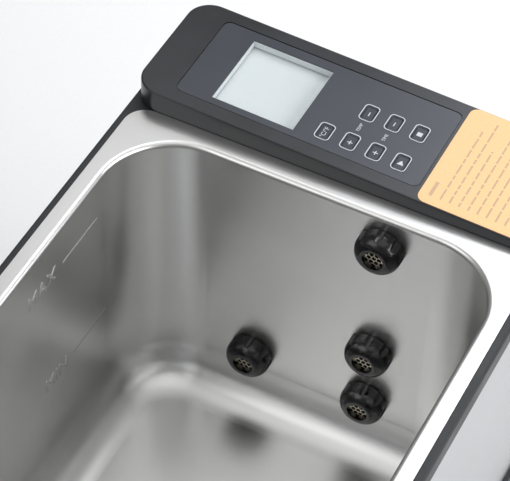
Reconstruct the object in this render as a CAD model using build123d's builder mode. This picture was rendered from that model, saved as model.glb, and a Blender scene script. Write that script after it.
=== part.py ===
"""Sous vide water bath with a built-in circulation pump.

Frame: millimetres, +Z up, origin on the floor under the middle of the bath.
-Y is the user's side. The tank opens upwards, and the control housing, the
pump and the electronics fill the +X end.
"""
from build123d import *
import math
import os

os.makedirs("parts", exist_ok=True)

# ---------------------------------------------------------------- driving dimensions
tank_length = 300.0          # inside, along X
tank_width = 220.0           # inside, along Y
tank_depth = 190.0           # rim to tank floor
tank_corner = 42.0           # vertical corners of the tank
floor_radius = 25.0          # tank wall to tank floor
steel = 0.8                  # drawn sheet
rim_height = 240.0           # floor to the top of the steel rim

flange = 10.4                # rim width on three sides
flange_corner = 13.0
rim_bend = 3.0               # inside radius where the wall turns into the rim
lip_drop = 1.9               # turned-down edge of the rim
panel_setback = 13.0         # tank wall to the control housing
rim_gap = 0.3                # steel edge to the housing and frame

frame_margin = 4.8           # black frame shown outside the steel
frame_corner = 18.0
frame_depth = 12.0           # rim plane to the frame's lower edge
frame_drop = 1.0             # frame top below the steel
frame_plate = 3.5
frame_skirt = 2.5
frame_edge = 1.8
frame_clearance = 3.5        # tank wall to the frame's opening

housing_depth = 80.1         # along X
housing_inset = 2.1          # frame shown outside the housing
housing_corner = 14.5
housing_wall = 2.5
housing_edge = 0.8
panel_rise = 13.6            # panel above the rim at the tank's rear wall
panel_angle = 2.0            # the panel falls towards the user, degrees

casing_sheet = 1.0
casing_gap = 0.2             # casing to the skirts it stands in
casing_tuck = 6.0            # casing hidden inside the base and the frame
base_top = 50.0
base_wall = 2.5
base_edge = 4.0
foot_height = 8.0

# film, display and keys, placed from the tank's rear +X corner on the panel:
# across is along +X from the port wall, down is towards the user
film_width = 63.2
film_length = 147.0
film_across = 53.1
film_down = 82.0
film_corner = 4.5
film_recess = 0.7
film_sheet = 0.5
film_gap = 0.5

display_width = 51.5
display_length = 49.4
display_across = 52.35
display_down = 54.1
well_depth = 4.7
well_wall = 1.6
window_sheet = 1.0
window_lap = 1.0
window_gap = 0.1             # air between the pane and the display

key_width = 13.0             # along X
key_length = 9.0             # along Y
key_corner = 2.5
key_gap = 0.15
key_border = 0.8
key_dish = 0.8
dish_slope = 52.0            # degrees from upright
key_travel = 0.6
key_flange = 1.0             # retaining flange thickness
key_lap = 1.0                # retaining flange beyond the key
key_play = 0.1
key_near = 34.3              # column next to the tank
key_far = 59.0
key_first = 94.5             # first row, down the panel
key_pitch = 15.15

board_depth = 10.5           # panel surface to the control board
board_sheet = 1.6
board_width = 58.0
board_length = 142.0
switch_side = 6.0
switch_body = 3.5
plunger_radius = 1.75
plunger_height = 1.5

label_start = 157.2          # down the panel
label_end = 222.0
label_margin = 0.9
label_sheet = 0.3
label_corner = 5.0

# ports and filter caps on the port wall
port_spacing = 73.6
port_low = 151.5             # below the rim
port_middle = 108.5
port_top = 21.5
port_radius = 7.0
port_bore = 4.5
port_clearance = 0.2
seat_radius = 11.0
seat_sheet = 2.0
gasket_sheet = 1.2
nipple_radius = 8.0
nipple_length = 4.0
stem_reach = 12.0            # thread behind the port wall
nut_across = 20.0
nut_height = 5.0

cap_radius = 13.5
cap_reach = 12.5
cap_skirt = 5.0
cap_mouth = 6.2
cap_rim = 1.6                # flat face round the mouth
cap_play = 0.3
flute_count = 8
flute_radius = 3.2
flute_depth = 1.2
mesh_depth = 9.7
mesh_sheet = 0.6
mesh_radius = 7.4
mesh_pitch = 3.0
mesh_hole = 1.3
cap_pull = 30.0

# pump, hoses and fittings
suction_reach = 30.0         # port wall to the suction line and pump axis
outlet_offset = 16.5         # pump axis to the outlet line, along X
tube_radius = 7.0
spigot_radius = 6.0
hose_wall = 2.5
hose_clearance = 0.05
elbow_reach = 20.0
tee_reach = 16.0
body_reach = 10.2
ball_swell = 0.5            # moulded ball at a pipe joint, over the tube
clamp_width = 5.0
clamp_sheet = 1.0

volute_radius = 24.0
volute_base = 44.0
volute_height = 18.0
volute_wall = 2.0
well_radius = 10.0
can_wall = 1.5
can_plate = 3.0
can_floor = 17.0
rotor_radius = 9.2
impeller_radius = 15.0
shaft_radius = 1.5
shaft_clearance = 0.05
stator_radius = 23.0
stator_height = 21.0

fan_side = 40.0
fan_depth = 10.0
fan_bore = 18.5
fan_height = 140.0
fan_across = 50.0            # port wall to the fan and the inlet, along X
fan_hub = 9.0

inlet_width = 31.0
inlet_height = 27.0
inlet_level = 29.0

handle_width = 104.0
handle_reach = 22.0
handle_height = 24.0
handle_level = 174.0
handle_wall = 3.5

foot_radius = 12.0
screw_radius = 1.5
screw_head = 3.0
rod_radius = 2.0
rod_inset = 13.0

# ---------------------------------------------------------------- derived places
overall_length = (
    frame_margin + flange + tank_length + panel_setback + housing_depth + housing_inset
)
overall_width = tank_width + 2 * (flange + frame_margin)
left_x = -overall_length / 2
port_wall = left_x + frame_margin + flange + tank_length
tank_x = port_wall - tank_length / 2
housing_x = port_wall + panel_setback + housing_depth / 2
housing_width = overall_width - 2 * housing_inset
rim_length = tank_length + flange + panel_setback - rim_gap
rim_x = port_wall + panel_setback - rim_gap - rim_length / 2
rim_width = tank_width + 2 * flange
frame_top = rim_height - frame_drop
tank_floor = rim_height - tank_depth
casing_inset = frame_skirt + casing_gap
casing_end = overall_length / 2 - casing_inset
casing_side = overall_width / 2 - casing_inset

panel = Plane(
    origin=(port_wall, tank_width / 2, rim_height + panel_rise),
    x_dir=(1, 0, 0),
    z_dir=(0, -math.sin(math.radians(panel_angle)), math.cos(math.radians(panel_angle))),
)
rear_wall = Plane.XZ.offset(-overall_width / 2)

port_places = {
    "low_front": (-port_spacing / 2, rim_height - port_low),
    "low_rear": (port_spacing / 2, rim_height - port_low),
    "middle": (-port_spacing / 2, rim_height - port_middle),
    "top": (-port_spacing / 2, rim_height - port_top),
}
key_places = {
    "key_unit": (key_near, -key_first),
    "key_temp_up": (key_near, -key_first - key_pitch),
    "key_temp_down": (key_far, -key_first - key_pitch),
    "key_time_up": (key_near, -key_first - 2 * key_pitch),
    "key_time_down": (key_far, -key_first - 2 * key_pitch),
    "key_start": (key_near, -key_first - 3 * key_pitch),
    "key_stop": (key_far, -key_first - 3 * key_pitch),
}
corner_signs = [(-1, -1), (-1, 1), (1, -1), (1, 1)]
boss_places = [
    (port_wall + panel_setback + 6.5, 0),
    (port_wall + panel_setback + 6.5, 100),
    (port_wall + panel_setback + 6.5, -100),
    (port_wall + panel_setback + housing_depth - 6.1, 0),
    (port_wall + panel_setback + housing_depth - 6.1, 100),
    (port_wall + panel_setback + housing_depth - 6.1, -100),
]
rod_places = [
    (sx * (overall_length / 2 - rod_inset), sy * (overall_width / 2 - rod_inset))
    for sx, sy in corner_signs
]
foot_places = [
    (sx * (overall_length / 2 - 28), sy * (overall_width / 2 - 28)) for sx, sy in corner_signs
]

# ---------------------------------------------------------------- tank
# One deep-drawn piece: walls, floor and rim share the same thin sheet.
def near_tank_wall(edge):
    middle = edge.center()
    beyond = steel + 1
    return (
        abs(middle.Y) < tank_width / 2 + beyond
        and abs(middle.X - tank_x) < tank_length / 2 + beyond
    )


with BuildPart() as tank:
    with BuildSketch(Plane.XY.offset(rim_height)):
        with Locations((tank_x, 0)):
            RectangleRounded(
                tank_length + 2 * steel, tank_width + 2 * steel, tank_corner + steel
            )
    extrude(amount=-(tank_depth + steel))
    fillet(tank.faces().sort_by(Axis.Z)[0].edges(), radius=floor_radius + steel)
    offset(amount=-steel, openings=tank.faces().sort_by(Axis.Z)[-1])
    with BuildSketch(Plane.XY.offset(rim_height)):
        with Locations((rim_x, 0)):
            RectangleRounded(rim_length, rim_width, flange_corner)
        with Locations((tank_x, 0)):
            RectangleRounded(tank_length, tank_width, tank_corner, mode=Mode.SUBTRACT)
    extrude(amount=-steel)
    under_rim = tank.edges().filter_by_position(
        Axis.Z, rim_height - steel - 0.01, rim_height - steel + 0.01
    )
    fillet(under_rim.filter_by(near_tank_wall), radius=rim_bend - steel)
    on_rim = tank.edges().filter_by_position(Axis.Z, rim_height - 0.01, rim_height + 0.01)
    fillet(on_rim.filter_by(near_tank_wall), radius=rim_bend)
    with BuildSketch(Plane.XY.offset(rim_height)):
        with Locations((rim_x, 0)):
            RectangleRounded(rim_length, rim_width, flange_corner)
            RectangleRounded(
                rim_length - 2 * steel,
                rim_width - 2 * steel,
                flange_corner - steel,
                mode=Mode.SUBTRACT,
            )
    extrude(amount=-lip_drop)
    with BuildSketch(Plane.YZ.offset(port_wall)):
        with Locations(*port_places.values()):
            Circle(port_radius + port_clearance)
    extrude(amount=5, both=True, mode=Mode.SUBTRACT)
tank.part.label = "tank"
export_step(tank.part, "parts/tank.step")

# ---------------------------------------------------------------- top frame
gasket_inner = 4.0
gasket_outer = 8.8
with BuildPart() as rim_gasket:
    with BuildSketch(Plane.XY.offset(rim_height - steel)):
        with Locations((tank_x, 0)):
            RectangleRounded(
                tank_length + 2 * gasket_outer,
                tank_width + 2 * gasket_outer,
                flange_corner,
            )
            RectangleRounded(
                tank_length + 2 * gasket_inner,
                tank_width + 2 * gasket_inner,
                tank_corner,
                mode=Mode.SUBTRACT,
            )
    extrude(amount=-(2.0 - steel))
rim_gasket.part.label = "rim_gasket"
export_step(rim_gasket.part, "parts/rim_gasket.step")

rod_boss = 4.5
with BuildPart() as top_frame:
    with BuildSketch(Plane.XY.offset(rim_height - frame_depth)):
        RectangleRounded(overall_length, overall_width, frame_corner)
    extrude(amount=frame_depth - frame_drop)
    fillet(top_frame.faces().sort_by(Axis.Z)[-1].edges(), radius=frame_edge)
    with BuildSketch(Plane.XY.offset(rim_height - frame_depth)):
        RectangleRounded(
            overall_length - 2 * frame_skirt,
            overall_width - 2 * frame_skirt,
            frame_corner - frame_skirt,
        )
        with Locations(*rod_places):
            Circle(rod_boss, mode=Mode.SUBTRACT)
    extrude(amount=frame_depth - frame_drop - frame_plate, mode=Mode.SUBTRACT)
    with BuildSketch(Plane.XY.offset(frame_top)):
        with Locations((tank_x, 0)):
            RectangleRounded(
                tank_length + 2 * frame_clearance,
                tank_width + 2 * frame_clearance,
                tank_corner + frame_clearance,
            )
        with Locations((housing_x, 0)):
            RectangleRounded(housing_depth - 14, housing_width - 14, 10)
        with Locations(*boss_places):
            Circle(screw_head + 1, mode=Mode.SUBTRACT)
    extrude(amount=-(frame_plate + 1), mode=Mode.SUBTRACT)
    with BuildSketch(Plane.XY.offset(frame_top)):
        with Locations((rim_x, 0)):
            RectangleRounded(
                rim_length + 2 * rim_gap, rim_width + 2 * rim_gap, flange_corner + rim_gap
            )
    extrude(amount=-(2.0 - frame_drop), mode=Mode.SUBTRACT)
    with BuildSketch(Plane.XY.offset(frame_top)):
        with Locations(*boss_places):
            Circle(screw_radius + 0.1)
    extrude(amount=-(frame_plate + 1), mode=Mode.SUBTRACT)
    with BuildSketch(Plane.XY.offset(rim_height - frame_depth)):
        with Locations(*rod_places):
            Circle(rod_radius)
    extrude(amount=4.0, mode=Mode.SUBTRACT)
top_frame.part.label = "top_frame"
export_step(top_frame.part, "parts/top_frame.step")

# ---------------------------------------------------------------- control housing
boss_radius = 3.5
post_radius = 2.5
post_places = [
    (film_across + sx * (board_width / 2 - 3), -film_down + sy * (board_length / 2 - 3))
    for sx, sy in corner_signs
]
with BuildPart() as control_housing:
    with BuildSketch(Plane.XY.offset(frame_top)):
        with Locations((housing_x, 0)):
            RectangleRounded(housing_depth, housing_width, housing_corner)
    extrude(amount=frame_drop + 2 * panel_rise)
    split(bisect_by=panel, keep=Keep.BOTTOM)
    offset(amount=-housing_wall, openings=control_housing.faces().sort_by(Axis.Z)[0])
    fillet(control_housing.faces().sort_by(Axis.Z)[-1].outer_wire().edges(), radius=housing_edge)
    with BuildSketch(panel.offset(-housing_wall)):
        with Locations((display_across, -display_down)):
            RectangleRounded(
                display_width + 2 * well_wall, display_length + 2 * well_wall, well_wall
            )
    extrude(amount=-(well_depth - housing_wall))
    with BuildSketch(panel.offset(-housing_wall)):
        with Locations(*post_places):
            Circle(post_radius)
    extrude(amount=-(board_depth - housing_wall))
    with BuildSketch(Plane.XY.offset(frame_top)):
        with Locations(*boss_places):
            Circle(boss_radius)
    extrude(until=Until.NEXT)
    with BuildSketch(panel):
        with Locations((film_across, -film_down)):
            RectangleRounded(film_width, film_length, film_corner)
    extrude(amount=-film_recess, mode=Mode.SUBTRACT)
    with BuildSketch(panel):
        with Locations((display_across, -display_down)):
            Rectangle(display_width, display_length)
    extrude(amount=-(well_depth + 1), mode=Mode.SUBTRACT)
    with BuildSketch(panel):
        with Locations(*key_places.values()):
            RectangleRounded(
                key_width + 2 * key_gap, key_length + 2 * key_gap, key_corner + key_gap
            )
    extrude(amount=-(housing_wall + 1), mode=Mode.SUBTRACT)
    with BuildSketch(Plane.XY.offset(frame_top)):
        with Locations(*boss_places):
            Circle(screw_radius)
    extrude(amount=3.0, mode=Mode.SUBTRACT)
control_housing.part.label = "control_housing"
export_step(control_housing.part, "parts/control_housing.step")

with BuildPart() as control_overlay:
    with BuildSketch(panel.offset(-film_recess)):
        with Locations((film_across, -film_down)):
            RectangleRounded(
                film_width - 2 * film_gap, film_length - 2 * film_gap, film_corner - film_gap
            )
        with Locations((display_across, -display_down)):
            Rectangle(display_width, display_length, mode=Mode.SUBTRACT)
        with Locations(*key_places.values()):
            RectangleRounded(
                key_width + 2 * key_gap,
                key_length + 2 * key_gap,
                key_corner + key_gap,
                mode=Mode.SUBTRACT,
            )
    extrude(amount=film_sheet)
control_overlay.part.label = "control_overlay"
export_step(control_overlay.part, "parts/control_overlay.step")

with BuildPart() as notes_label:
    with BuildSketch(panel):
        with Locations((panel_setback + housing_depth / 2, -(label_start + label_end) / 2)):
            RectangleRounded(
                housing_depth - 2 * label_margin, label_end - label_start, label_corner
            )
    extrude(amount=label_sheet)
notes_label.part.label = "notes_label"
export_step(notes_label.part, "parts/notes_label.step")

with BuildPart() as lcd_window:
    with BuildSketch(panel.offset(-well_depth)):
        with Locations((display_across, -display_down)):
            Rectangle(display_width + 2 * window_lap, display_length + 2 * window_lap)
    extrude(amount=-window_sheet)
lcd_window.part.label = "lcd_window"
export_step(lcd_window.part, "parts/lcd_window.step")

with BuildPart() as lcd_module:
    with BuildSketch(panel.offset(-(well_depth + window_sheet + window_gap))):
        with Locations((display_across, -display_down)):
            Rectangle(display_width + 2 * window_lap, display_length + 2 * window_lap)
    extrude(amount=-(board_depth - well_depth - window_sheet - window_gap))
lcd_module.part.label = "lcd_module"
export_step(lcd_module.part, "parts/lcd_module.step")

with BuildPart() as control_board:
    with BuildSketch(panel.offset(-board_depth)):
        with Locations((film_across, -film_down)):
            RectangleRounded(board_width, board_length, 2)
        with Locations(*post_places):
            Circle(screw_radius, mode=Mode.SUBTRACT)
    extrude(amount=-board_sheet)
control_board.part.label = "control_board"
export_step(control_board.part, "parts/control_board.step")

with BuildPart() as tact_switches:
    with BuildSketch(panel.offset(-board_depth)):
        with Locations(*key_places.values()):
            Rectangle(switch_side, switch_side)
    extrude(amount=switch_body)
    with BuildSketch(panel.offset(-board_depth + switch_body)):
        with Locations(*key_places.values()):
            Circle(plunger_radius)
    extrude(amount=plunger_height)
tact_switches.part.label = "tact_switches"
export_step(tact_switches.part, "parts/tact_switches.step")

# ---------------------------------------------------------------- keys
# A dished cap with a raised border, a flange that keeps it in the housing, and
# a stem that stops just clear of its switch at full travel.
key_flange_top = housing_wall + key_play
plunger_top = board_depth - switch_body - plunger_height
key_stem = plunger_top - key_travel - key_play

for key_name, key_place in key_places.items():
    with BuildPart() as key:
        with BuildSketch(panel):
            with Locations(key_place):
                RectangleRounded(key_width, key_length, key_corner)
        extrude(amount=-(key_flange_top + key_flange))
        with BuildSketch(panel.offset(-key_flange_top)):
            with Locations(key_place):
                RectangleRounded(
                    key_width + 2 * key_lap, key_length + 2 * key_lap, key_corner + key_lap
                )
        extrude(amount=-key_flange)
        with BuildSketch(panel):
            with Locations(key_place):
                RectangleRounded(
                    key_width - 2 * key_border,
                    key_length - 2 * key_border,
                    key_corner - key_border,
                )
        extrude(amount=-key_dish, taper=dish_slope, mode=Mode.SUBTRACT)
        with BuildSketch(panel.offset(-key_flange_top)):
            with Locations(key_place):
                Circle(plunger_radius)
        extrude(amount=-(key_stem - key_flange_top))
    key.part.label = key_name
    export_step(key.part, f"parts/{key_name}.step")

with BuildPart() as housing_screws:
    with BuildSketch(Plane.XY.offset(frame_top - frame_plate)):
        with Locations(*boss_places):
            Circle(screw_head)
    extrude(amount=-2.0)
    with BuildSketch(Plane.XY.offset(frame_top - frame_plate)):
        with Locations(*boss_places):
            Circle(screw_radius)
    extrude(amount=frame_plate + 2.5)
housing_screws.part.label = "housing_screws"
export_step(housing_screws.part, "parts/housing_screws.step")

# ---------------------------------------------------------------- casing and base
casing_bottom = base_top - casing_tuck
casing_top = frame_top - frame_plate - 0.5
vent_slot = 3.0
vent_pitch = 5.0
vent_count = 8
with BuildPart() as casing:
    with BuildSketch(Plane.XY.offset(casing_bottom)):
        RectangleRounded(2 * casing_end, 2 * casing_side, frame_corner - casing_inset)
        RectangleRounded(
            2 * (casing_end - casing_sheet),
            2 * (casing_side - casing_sheet),
            frame_corner - casing_inset - casing_sheet,
            mode=Mode.SUBTRACT,
        )
    extrude(amount=casing_top - casing_bottom)
    with BuildSketch(rear_wall):
        with Locations((port_wall + fan_across, fan_height)):
            with GridLocations(vent_pitch, 0, vent_count, 1):
                SlotOverall(fan_side - 4, vent_slot, rotation=90)
    extrude(amount=8, mode=Mode.SUBTRACT)
casing.part.label = "casing"
export_step(casing.part, "parts/casing.step")

inlet_lip = 1.5
inlet_body_width = 27.2
inlet_body_height = 20.2
post_x = [port_wall + 10, port_wall + 84]
power_board_y = 75.0
power_board_sheet = 1.6
with BuildPart() as base_tray:
    with BuildSketch(Plane.XY.offset(foot_height)):
        RectangleRounded(overall_length, overall_width, frame_corner)
    extrude(amount=base_top - foot_height)
    fillet(base_tray.faces().sort_by(Axis.Z)[0].edges(), radius=base_edge)
    offset(amount=-base_wall, openings=base_tray.faces().sort_by(Axis.Z)[-1])
    with BuildSketch(Plane.XY.offset(foot_height + base_wall)):
        with Locations((port_wall + suction_reach, 0)):
            Circle(stator_radius)
            Circle(can_wall + well_radius + 1, mode=Mode.SUBTRACT)
    extrude(amount=can_floor + 1 - foot_height - base_wall)
    with BuildSketch(Plane.XY.offset(foot_height + base_wall)):
        with Locations(*[(x, power_board_y) for x in post_x]):
            Rectangle(10, 10)
        with Locations(((post_x[0] + post_x[1]) / 2, power_board_y)):
            Rectangle(post_x[1] - post_x[0], power_board_sheet + 0.2, mode=Mode.SUBTRACT)
    extrude(amount=54)
    with BuildSketch(rear_wall):
        with Locations((port_wall + fan_across, inlet_level)):
            RectangleRounded(inlet_width + 0.4, inlet_height + 0.4, 3)
    extrude(amount=inlet_lip, mode=Mode.SUBTRACT)
    with BuildSketch(rear_wall):
        with Locations((port_wall + fan_across, inlet_level)):
            Rectangle(inlet_body_width + 0.4, inlet_body_height + 0.4)
    extrude(amount=base_wall + 1, mode=Mode.SUBTRACT)
    with BuildSketch(Plane.XY.offset(foot_height)):
        with Locations(*rod_places):
            Circle(rod_radius + 0.2)
        with Locations(*foot_places):
            Circle(screw_radius)
        with Locations((port_wall + fan_across, -52)):
            with GridLocations(7, 0, 9, 1):
                SlotOverall(50, vent_slot, rotation=90)
    extrude(amount=base_wall + 1, mode=Mode.SUBTRACT)
base_tray.part.label = "base_tray"
export_step(base_tray.part, "parts/base_tray.step")

with BuildPart() as tie_rods:
    with BuildSketch(Plane.XY.offset(foot_height)):
        with Locations(*rod_places):
            Circle(2 * rod_radius)
    extrude(amount=-3)
    with BuildSketch(Plane.XY.offset(foot_height)):
        with Locations(*rod_places):
            Circle(rod_radius)
    extrude(amount=rim_height - frame_depth + 4 - foot_height)
tie_rods.part.label = "tie_rods"
export_step(tie_rods.part, "parts/tie_rods.step")

with BuildPart() as rubber_feet:
    with BuildSketch():
        with Locations(*foot_places):
            Circle(foot_radius)
    extrude(amount=foot_height, taper=4)
    fillet(rubber_feet.faces().group_by(Axis.Z)[0].edges(), radius=1.2)
    with BuildSketch():
        with Locations(*foot_places):
            Circle(screw_head + 1)
    extrude(amount=3, mode=Mode.SUBTRACT)
    with BuildSketch():
        with Locations(*foot_places):
            Circle(screw_radius + 0.1)
    extrude(amount=foot_height, mode=Mode.SUBTRACT)
rubber_feet.part.label = "rubber_feet"
export_step(rubber_feet.part, "parts/rubber_feet.step")

with BuildPart() as foot_screws:
    with BuildSketch(Plane.XY.offset(3)):
        with Locations(*foot_places):
            Circle(screw_head)
    extrude(amount=-2)
    with BuildSketch(Plane.XY.offset(3)):
        with Locations(*foot_places):
            Circle(screw_radius)
    extrude(amount=foot_height + base_wall)
foot_screws.part.label = "foot_screws"
export_step(foot_screws.part, "parts/foot_screws.step")

# ---------------------------------------------------------------- carry handles
for side, side_name in ((-1, "left"), (1, "right")):
    with BuildPart() as handle:
        with BuildSketch(Plane.XY.offset(handle_level)):
            with Locations((side * (casing_end + handle_reach / 2), 0)):
                Rectangle(handle_reach, handle_width)
        extrude(amount=handle_height)
        outer_face = handle.faces().sort_by(Axis.X)[-1 if side > 0 else 0]
        fillet(outer_face.edges().filter_by(Axis.Z), radius=9)
        fillet(handle.faces().sort_by(Axis.Z)[-1].edges().filter_by(
            lambda edge: abs(edge.center().X) > casing_end + 0.1), radius=4)
        with BuildSketch(Plane.XY.offset(handle_level)):
            with Locations((side * (casing_end + handle_reach / 2), 0)):
                RectangleRounded(
                    handle_reach - 2 * handle_wall, handle_width - 5 * handle_wall, 5
                )
        extrude(amount=handle_height - 1.6 * handle_wall, mode=Mode.SUBTRACT)
    handle.part.label = f"carry_handle_{side_name}"
    export_step(handle.part, f"parts/carry_handle_{side_name}.step")

# ---------------------------------------------------------------- filter caps
def axial_section(place):
    """Half-section plane of a port: x runs into the tank, y is the radius."""
    return Plane(origin=(port_wall, *place), x_dir=(-1, 0, 0), z_dir=(0, 1, 0))


def port_plane(place, depth=0.0):
    """Plane across a port, depth into the tank, facing the tank."""
    return Plane(origin=(port_wall - depth, *place), x_dir=(0, 1, 0), z_dir=(-1, 0, 0))


mesh_holes = []
for row in range(-2, 3):
    for column in range(-2, 3):
        hole_x = mesh_pitch * (column + row / 2)
        hole_y = mesh_pitch * row * math.sqrt(3) / 2
        if math.hypot(hole_x, hole_y) < 1.8 * mesh_pitch:
            mesh_holes.append((hole_x, hole_y))

nipple_bore = nipple_radius + cap_play
seat_bore = seat_radius + cap_play
seat_depth = gasket_sheet + seat_sheet + 4 * cap_play
nipple_end = gasket_sheet + seat_sheet + nipple_length
cap_shoulder = nipple_end + 1.0
mesh_seat = mesh_depth + mesh_sheet

for place_name, place in port_places.items():
    cap_axis = Axis((port_wall, *place), (-1, 0, 0))
    with BuildPart() as filter_cap:
        with BuildSketch(axial_section(place)):
            with BuildLine():
                Polyline(
                    (cap_play, seat_bore),
                    (cap_play, cap_radius - 0.8),
                    (1.0, cap_radius),
                    (cap_skirt, cap_radius),
                )
                TangentArc(
                    (cap_skirt, cap_radius), (cap_reach, cap_mouth + cap_rim), tangent=(1, 0)
                )
                Polyline(
                    (cap_reach, cap_mouth + cap_rim),
                    (cap_reach, cap_mouth),
                    (mesh_seat, cap_mouth),
                    (mesh_seat, mesh_radius),
                    (cap_shoulder, mesh_radius),
                    (cap_shoulder, nipple_bore),
                    (seat_depth, nipple_bore),
                    (seat_depth, seat_bore),
                    (cap_play, seat_bore),
                )
            make_face()
        revolve(axis=cap_axis)
        with BuildSketch(port_plane(place)):
            with PolarLocations(cap_radius + flute_radius - flute_depth, flute_count):
                Circle(flute_radius)
        extrude(amount=cap_reach, mode=Mode.SUBTRACT)
    filter_cap.part.label = f"filter_cap_{place_name}"
    export_step(filter_cap.part, f"parts/filter_cap_{place_name}.step")

    with BuildPart() as filter_mesh:
        with BuildSketch(port_plane(place, mesh_depth)):
            Circle(mesh_radius)
            with Locations(*mesh_holes):
                RegularPolygon(
                    mesh_hole, 6, major_radius=False, rotation=30, mode=Mode.SUBTRACT
                )
        extrude(amount=mesh_sheet)
    filter_mesh.part.label = f"filter_mesh_{place_name}"
    export_step(filter_mesh.part, f"parts/filter_mesh_{place_name}.step")

# ---------------------------------------------------------------- ports
with BuildPart() as port_sockets:
    with BuildSketch(Plane.YZ.offset(port_wall - gasket_sheet)):
        with Locations(*port_places.values()):
            Circle(seat_radius)
    extrude(amount=-seat_sheet)
    with BuildSketch(Plane.YZ.offset(port_wall - gasket_sheet)):
        with Locations(*port_places.values()):
            Circle(nipple_radius)
    extrude(amount=-(seat_sheet + nipple_length))
    with BuildSketch(Plane.YZ.offset(port_wall - gasket_sheet)):
        with Locations(*port_places.values()):
            Circle(port_radius)
    extrude(amount=gasket_sheet + stem_reach)
    with BuildSketch(Plane.YZ.offset(port_wall)):
        with Locations(*port_places.values()):
            Circle(port_bore)
    extrude(amount=2 * stem_reach, both=True, mode=Mode.SUBTRACT)
port_sockets.part.label = "port_sockets"
export_step(port_sockets.part, "parts/port_sockets.step")

with BuildPart() as port_gaskets:
    with BuildSketch(Plane.YZ.offset(port_wall - gasket_sheet)):
        with Locations(*port_places.values()):
            Circle(seat_radius)
            Circle(port_radius, mode=Mode.SUBTRACT)
    extrude(amount=gasket_sheet)
port_gaskets.part.label = "port_gaskets"
export_step(port_gaskets.part, "parts/port_gaskets.step")

with BuildPart() as port_nuts:
    with BuildSketch(Plane.YZ.offset(port_wall + steel)):
        with Locations(*port_places.values()):
            RegularPolygon(nut_across / 2, 6, major_radius=False)
            Circle(port_radius, mode=Mode.SUBTRACT)
    extrude(amount=nut_height)
port_nuts.part.label = "port_nuts"
export_step(port_nuts.part, "parts/port_nuts.step")

# ---------------------------------------------------------------- fittings
socket_start = steel + nut_height + 0.2      # behind the port wall
socket_end = stem_reach + 0.2
socket_radius = 9.2
bore_overlap = 3.0                           # bores cross past the middle of a joint


def pipe_fitting(junction, arms, socket_place=None):
    """A moulded pipe joint. Each arm is a direction and a reach from the junction."""
    with BuildPart() as fitting:
        with Locations(junction):
            Sphere(tube_radius + ball_swell)
        for direction, reach in arms:
            with BuildSketch(Plane(origin=junction, z_dir=direction)):
                Circle(tube_radius)
            extrude(amount=body_reach)
            with BuildSketch(Plane(origin=junction, z_dir=direction)):
                Circle(spigot_radius)
            extrude(amount=reach)
        if socket_place:
            with BuildSketch(Plane.YZ.offset(port_wall + socket_start)):
                with Locations(socket_place):
                    Circle(socket_radius)
            extrude(amount=socket_end - socket_start + 3)
            with BuildSketch(Plane.YZ.offset(port_wall + socket_end + 1)):
                with Locations(socket_place):
                    Circle(tube_radius)
            extrude(amount=junction[0] - port_wall - socket_end - 1)
            with BuildSketch(Plane.YZ.offset(port_wall + socket_start)):
                with Locations(socket_place):
                    Circle(port_radius + hose_clearance)
            extrude(amount=socket_end - socket_start, mode=Mode.SUBTRACT)
            with BuildSketch(Plane.YZ.offset(port_wall + socket_start)):
                with Locations(socket_place):
                    Circle(port_bore)
            extrude(
                amount=junction[0] - port_wall - socket_start + bore_overlap, mode=Mode.SUBTRACT
            )
        for direction, reach in arms:
            with BuildSketch(Plane(origin=junction, z_dir=direction).offset(-bore_overlap)):
                Circle(port_bore)
            extrude(amount=reach + bore_overlap, mode=Mode.SUBTRACT)
    return fitting


suction_x = port_wall + suction_reach
outlet_x = suction_x + outlet_offset
low_z = rim_height - port_low
front_y = -port_spacing / 2
up, down = (0, 0, 1), (0, 0, -1)
rearwards, forwards = (0, 1, 0), (0, -1, 0)

port_elbow_front = pipe_fitting(
    (suction_x, front_y, low_z), [(rearwards, elbow_reach)], port_places["low_front"]
)
port_elbow_front.part.label = "port_elbow_front"
export_step(port_elbow_front.part, "parts/port_elbow_front.step")

port_elbow_rear = pipe_fitting(
    (suction_x, -front_y, low_z), [(forwards, elbow_reach)], port_places["low_rear"]
)
port_elbow_rear.part.label = "port_elbow_rear"
export_step(port_elbow_rear.part, "parts/port_elbow_rear.step")

port_tee_middle = pipe_fitting(
    (outlet_x, *port_places["middle"]), [(up, tee_reach), (down, tee_reach)],
    port_places["middle"],
)
port_tee_middle.part.label = "port_tee_middle"
export_step(port_tee_middle.part, "parts/port_tee_middle.step")

port_elbow_top = pipe_fitting(
    (outlet_x, *port_places["top"]), [(down, tee_reach)], port_places["top"]
)
port_elbow_top.part.label = "port_elbow_top"
export_step(port_elbow_top.part, "parts/port_elbow_top.step")

suction_tee = pipe_fitting(
    (suction_x, 0, low_z), [(rearwards, tee_reach), (forwards, tee_reach), (down, tee_reach)]
)
suction_tee.part.label = "suction_tee"
export_step(suction_tee.part, "parts/suction_tee.step")

# ---------------------------------------------------------------- pump
volute_top = volute_base + volute_height
chamber_radius = volute_radius - 2 * volute_wall
duct_z = volute_base + volute_height / 2
inlet_spigot_top = low_z - tee_reach - 1.0
outlet_spigot_top = volute_top + tee_reach

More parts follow.
